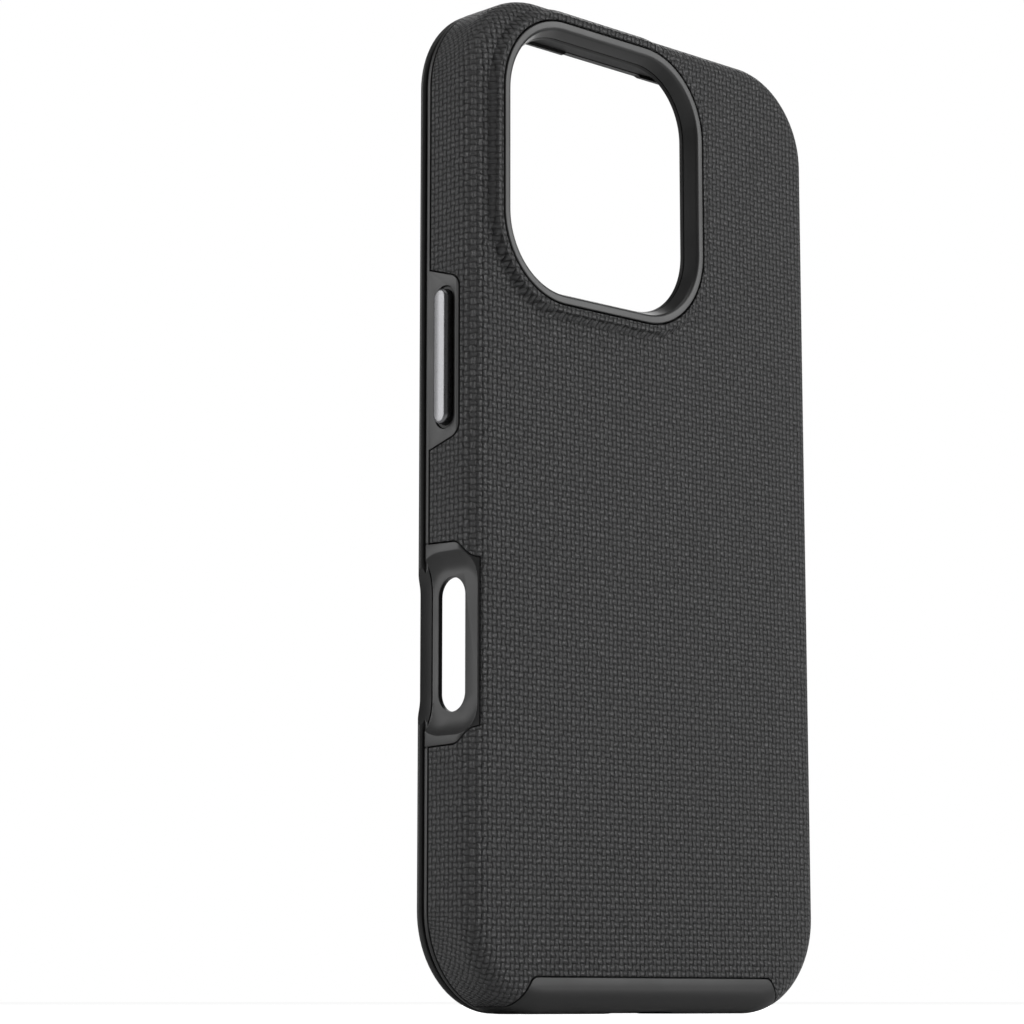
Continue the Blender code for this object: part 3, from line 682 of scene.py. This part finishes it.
# Fine grooves moulded in the floor: an upright line and slanted lines that cross it
def scoreLines():
    sizes = {
        "width": 0.28 * mm, "depth": 0.22 * mm, "under": 1 * mm, "upright": -12.85 * mm,
        "low": 6 * mm, "high": 149 * mm, "breakLow": 117 * mm, "breakHigh": 134 * mm,
    }
    upright = sizes["upright"]
    lines = [((upright, sizes["low"]), (upright, sizes["breakLow"])),
             ((upright, sizes["breakHigh"]), (upright, sizes["high"]))]
    # Where the upright is broken it steps aside: x and z of both ends, in millimetres
    for line in (
        (-9.65, 130.5, -9.65, 132), (-9.65, 118.7, -9.65, 121),
        (-12.8, 133.6, -9.7, 132), (-12.8, 117.1, -9.7, 118.7),
    ):
        startX, startZ, endX, endZ = (value * mm for value in line)
        lines.append(((startX, startZ), (endX, endZ)))
    # Slanted lines: height at the middle, rise per millimetre, and x of both ends, in millimetres
    for crossing, slope, start, end in (
        (126.6, -0.56, -26.4, -12.85), (94.7, -0.56, -26.4, 33.4), (64.2, -0.56, -26.4, 33.4),
        (62.4, 0.62, -26.4, 33.4), (30.3, 0.62, -26.4, 33.4),
    ):
        lines.append([(x * mm, (crossing + slope * x) * mm) for x in (start, end)])
    cutters = []
    for first, last in lines:
        a, b = Vector(first), Vector(last)
        side = (b - a).normalized().orthogonal() * sizes["width"] / 2
        outline = [tuple(a - side), tuple(b - side), tuple(b + side), tuple(a + side)]
        low, high = case["floor"] - sizes["under"], case["floor"] + sizes["depth"]
        cutters.append(prism("scoreCut", outline, low, high, alongY))
    return cutters


def makeLiner():
    sizes = {"plungerRoom": 0.3 * mm, "room": 0.15 * mm, "windowInset": 0.04 * mm, "holeReach": 2 * mm,
             "gasketReach": 5 * mm}
    rings = cupRings(case["linerInset"], case["linerBack"], case["glass"], case["cavityInset"], case["floor"])
    thing = newObject("softLiner", loft(rings, alongY), linerMaterial)
    # A low rim stands round the camera opening inside: growth of the outline, and depth behind
    # the floor's face, in millimetres.
    rim = ((1.2, 0.1), (1.2, -0.12), (1.05, -0.2), (-0.1, -0.2), (-0.25, -0.12), (-0.3, 0.1))
    steps = [(cameraOutline(grow * mm), case["floor"] + behind * mm) for grow, behind in rim]
    combine(thing, "UNION", newObject("cameraStep", loft(steps, alongY, capEnds=False), None))
    outline = cameraOutline(gasketHigh.x - ringHigh.x + sizes["room"])
    hole = prism("gasketHole", outline, case["floor"] - sizes["gasketReach"], case["back"], alongY)
    half = bezelSizes["blockLength"] / 2 + sizes["room"]
    shape = [(case["front"], controlZ - half), (case["back"], controlZ - half),
             (case["back"], controlZ + half), (case["front"], controlZ + half)]
    inner = case["halfWidth"] - case["cavityInset"]
    cutters = [hole, prism("bezelWindow", shape, inner - sizes["windowInset"], case["halfWidth"], alongX)]
    cutters += bottomCutters("Liner")
    for word, side in buttonSides.items():
        low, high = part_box(word + "_plunger")
        halfA = (high.y - low.y) / 2 + sizes["plungerRoom"]
        halfB = (high.z - low.z) / 2 + sizes["plungerRoom"]
        outline = outlinePoints(halfA, halfB, halfA, 10, (middleY, (low.z + high.z) / 2))
        ends = sorted((side * (inner - sizes["holeReach"]), side * case["halfWidth"]))
        cutters.append(prism(word + "Hole", outline, ends[0], ends[1], alongX))
    for word, sideX, sideZ in cornerSides:
        cutters.append(cushionPocket(word, sideX, sideZ))
    combine(thing, "DIFFERENCE", *cutters, *scoreLines())
    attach(thing, "case")
    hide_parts("inner_liner")


cushion = {
    "halfAngle": math.radians(31), "thickness": 0.55 * mm, "height": 5.6 * mm, "gap": 0.1 * mm,
    "inReach": 0.5 * mm, "padLength": 4.4 * mm, "padWidth": 1.9 * mm, "padRise": 0.12 * mm,
    "padPitch": 4.1 * mm, "padBlend": 0.22 * mm, "columns": 96, "rows": 40,
}
cornerSides = [("top_right", 1, 1), ("top_left", -1, 1), ("bottom_left", -1, -1), ("bottom_right", 1, -1)]
buttonSides = {"action": -1, "volume_up": -1, "volume_down": -1, "side": 1}


def cornerCentre(sideX, sideZ):
    x = sideX * (case["halfWidth"] - case["corner"])
    z = case["corner"] if sideZ < 0 else case["height"] - case["corner"]
    return x, z, math.atan2(sideZ, sideX)


def cushionPocket(word, sideX, sideZ):
    x, z, turn = cornerCentre(sideX, sideZ)
    radius = case["corner"] - case["cavityInset"]
    half = cushion["halfAngle"] + cushion["gap"] / radius
    outline = []
    outer = radius + cushion["thickness"] + cushion["gap"]
    for distance, sign in ((radius - cushion["inReach"], 1), (outer, -1)):
        for step in range(25):
            angle = turn + sign * half * (1 - step / 12)
            outline.append((x + distance * math.cos(angle), z + distance * math.sin(angle)))
    reach = cushion["height"] / 2 + cushion["gap"]
    return prism(word + "Pocket", outline, middleY - reach, middleY + reach, alongY)


# Each corner pad has three raised ovals, long ways through the depth of the case
def makeCushions():
    radius = case["corner"] - case["cavityInset"]
    columns, rows = cushion["columns"], cushion["rows"]
    straight = (cushion["padLength"] - cushion["padWidth"]) / 2
    for word, sideX, sideZ in cornerSides:
        x, z, turn = cornerCentre(sideX, sideZ)
        meshData = bmesh.new()
        grid = []
        backs = []
        for column in range(columns + 1):
            angle = turn + cushion["halfAngle"] * (2 * column / columns - 1)
            arc = (angle - turn) * radius
            line = []
            for row in range(rows + 1):
                y = middleY + cushion["height"] * (row / rows - 0.5)
                rise = 0.0
                for pad in (-1, 0, 1):
                    offsetA = abs(arc - pad * cushion["padPitch"])
                    offsetB = max(abs(y - middleY) - straight, 0.0)
                    edge = cushion["padWidth"] / 2 - math.hypot(offsetA, offsetB)
                    share = min(max(edge / cushion["padBlend"] + 0.5, 0.0), 1.0)
                    rise = max(rise, share * share * (3 - 2 * share))
                distance = radius - cushion["padRise"] * rise
                point = (x + distance * math.cos(angle), y, z + distance * math.sin(angle))
                line.append(meshData.verts.new(point))
            grid.append(line)
            distance = radius + cushion["thickness"]
            backX, backZ = x + distance * math.cos(angle), z + distance * math.sin(angle)
            levels = [middleY + end * cushion["height"] / 2 for end in (-1, 1)]
            backs.append([meshData.verts.new((backX, level, backZ)) for level in levels])
        for first, second, back, nextBack in zip(grid, grid[1:], backs, backs[1:]):
            for row in range(rows):
                meshData.faces.new((first[row], second[row], second[row + 1], first[row + 1]))
            meshData.faces.new((back[0], back[1], nextBack[1], nextBack[0]))
            for end, row in ((0, 0), (1, rows)):
                meshData.faces.new((first[row], second[row], nextBack[end], back[end]))
        for column in (0, columns):
            meshData.faces.new(grid[column] + [backs[column][1], backs[column][0]])
        thing = newObject("cornerPad_" + word, meshData, linerMaterial, 50)
        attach(thing, "case")
        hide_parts("corner_cushion_" + word)


def makeCameraTrim():
    sizes = {
        "inner": 0.45 * mm, "sealRound": 0.15 * mm, "sealTurn": 0.04 * mm,
        "sealGrow": (0.06 * mm, 0.16 * mm),
    }
    top = case["collarTop"]
    radius = ringSizes["round"]
    rings = [(cameraOutline(0.0), ringLow.y)]
    for step in range(7):
        angle = math.pi / 2 * step / 6
        rings.append((cameraOutline(-radius * (1 - math.cos(angle))), top - radius * (1 - math.sin(angle))))
    inner = sizes["inner"]
    for step in range(8):
        angle = math.pi / 2 * (1 - step / 7)
        level = top - inner * (1 - math.sin(angle))
        rings.append((openingOutline(level, inner * (1 - math.cos(angle))), level))
    rings.append((openingOutline(ringLow.y), ringLow.y))
    thing = newObject("cameraRing", loft(rings, alongY, capEnds=False), ringMaterial)
    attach(thing, "case")
    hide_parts("camera_ring")
    outer = cameraOutline(gasketHigh.x - ringHigh.x)
    low, high = gasketLow.y, gasketHigh.y
    near = low + sizes["sealRound"]
    middleGrow, endGrow = sizes["sealGrow"]
    rings = [(outer, low), (outer, high), (openingOutline(high), high), (openingOutline(near), near),
             (openingOutline(low, middleGrow), low + sizes["sealTurn"]), (openingOutline(low, endGrow), low)]
    gasket = newObject("cameraSeal", loft(rings, alongY, capEnds=False), insertMaterial)
    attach(gasket, "case")
    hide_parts("camera_gasket")


def makeButtons():
    sizes = {"bevel": 0.5 * mm, "crown": 0.06 * mm, "steps": 14}
    bevel, crown, steps = sizes["bevel"], sizes["crown"], sizes["steps"]
    for word, side in buttonSides.items():
        low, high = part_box(word + "_button")
        halfA = (high.y - low.y) / 2
        halfB = (high.z - low.z) / 2
        centre = (middleY, (low.z + high.z) / 2)
        outer = high.x if side > 0 else -low.x
        foot = low.x if side > 0 else -high.x
        # Inset and level: straight sides, a rounded edge, then a face that swells a little.
        levels = [(0.0, foot)]
        for step in range(9):
            angle = math.pi / 2 * step / 8
            levels.append((bevel * (1 - math.cos(angle)), outer - crown - bevel * (1 - math.sin(angle))))
        for share in (0.5, 0.9):
            levels.append((bevel + (halfA - bevel) * share, outer - crown * (1 - share) ** 2))
        rings = []
        for inset, level in levels:
            outline = outlinePoints(halfA - inset, halfB - inset, halfA - inset, steps, centre)
            rings.append((outline, side * level))
        cap = newObject(word + "Cap", loft(rings, alongX), capMaterial, 40)
        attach(cap, word + "_key")
        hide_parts(word + "_button")
        for node in (word + "_sleeve", word + "_plunger"):
            kept = frame["nodes"][node]
            kept.data.materials.clear()
            kept.data.materials.append(insertMaterial)


makeShell()
print("shell made")
makeFrame()
print("frame made")
makeBezel()
print("bezel made")
makeLip()
print("lip made")
makeLiner()
print("liner made")
makeCushions()
makeCameraTrim()
makeButtons()
print("trim and buttons made")


def makeStage():
    sweep = {"half": 6.0, "below": 0.02 * mm, "glow": 0.8}
    meshData = bmesh.new()
    bmesh.ops.create_grid(meshData, x_segments=1, y_segments=1, size=sweep["half"])
    floor = newObject("floor", meshData, None)
    floor.location.z = -sweep["below"]
    # White paper sweep that shows nearly as bright as the background behind it.
    material, tree, shader = newMaterial("matPaperWhite", {"Base Color": linear("#f2f2f2"), "Roughness": 0.9})
    seen = addNode(tree, "ShaderNodeLightPath").outputs["Is Camera Ray"]
    shader.inputs["Emission Color"].default_value = (1.0, 1.0, 1.0, 1.0)
    glow = addNode(tree, "ShaderNodeMath", {0: seen, 1: sweep["glow"]}, operation="MULTIPLY").outputs[0]
    tree.links.new(glow, shader.inputs["Emission Strength"])
    floor.data.materials.append(material)


def makeWorld():
    # The background reads as white paper while lighting the object more gently.
    light = {"seen": 1.0, "fill": 0.16}
    world = bpy.data.worlds.new("studio")
    bpy.context.scene.world = world
    world.use_nodes = True
    tree = world.node_tree
    background = tree.nodes["Background"]
    seen = addNode(tree, "ShaderNodeLightPath").outputs["Is Camera Ray"]
    strength = addNode(tree, "ShaderNodeMapRange", {0: seen, 3: light["fill"], 4: light["seen"]})
    tree.links.new(strength.outputs[0], background.inputs["Strength"])
    background.inputs["Color"].default_value = (1.0, 1.0, 1.0, 1.0)


def softbox(name, azimuth, elevation, distance, width, height, power):
    centre = Vector((0.0, 0.0, case["height"] / 2))
    a, e = math.radians(azimuth), math.radians(elevation)
    direction = Vector((math.sin(a) * math.cos(e), -math.cos(a) * math.cos(e), math.sin(e)))
    data = bpy.data.lights.new(name, "AREA")
    data.shape = "RECTANGLE"
    data.size = width
    data.size_y = height
    data.energy = power
    lamp = bpy.data.objects.new(name, data)
    lamp.location = centre + direction * distance
    lamp.rotation_euler = direction.to_track_quat("Z", "Y").to_euler()
    bpy.context.scene.collection.objects.link(lamp)


# name, turn round the case and height in degrees, distance, width and height in metres, power in watts
lights = [
    ("backSoftbox", 218, 20, 0.75, 0.45, 0.8, 3.8),
    ("sideSoftbox", 52, 15, 0.75, 0.3, 0.8, 2.6),
    ("frontSoftbox", -48, 25, 0.9, 0.5, 0.7, 2.0),
    ("topSoftbox", 140, 80, 0.8, 0.6, 0.6, 1.0),
]


def makeCamera():
    view = {"azimuth": 136.24, "elevation": -9.3, "distance": 471 * mm, "aside": 17.83 * mm,
            "lens": 105.05, "aimHeight": 78 * mm, "depthMiddle": -0.545 * mm}
    a, e = math.radians(view["azimuth"]), math.radians(view["elevation"])
    back = Vector((math.sin(a) * math.cos(e), -math.cos(a) * math.cos(e), math.sin(e)))
    right = (-back).cross(Vector((0, 0, 1))).normalized()
    data = bpy.data.cameras.new("camera")
    data.lens = view["lens"]
    data.sensor_width = 36
    data.clip_start = 0.01
    data.clip_end = 50
    camera = bpy.data.objects.new("camera", data)
    place = Vector((0, view["depthMiddle"], view["aimHeight"])) + back * view["distance"]
    camera.location = place - right * view["aside"]
    camera.rotation_euler = back.to_track_quat("Z", "Y").to_euler()
    bpy.context.scene.collection.objects.link(camera)
    bpy.context.scene.camera = camera


makeStage()
makeWorld()
for settings in lights:
    softbox(*settings)
makeCamera()
bpy.context.scene.view_settings.view_transform = "Standard"
print("stage, lights and camera made")
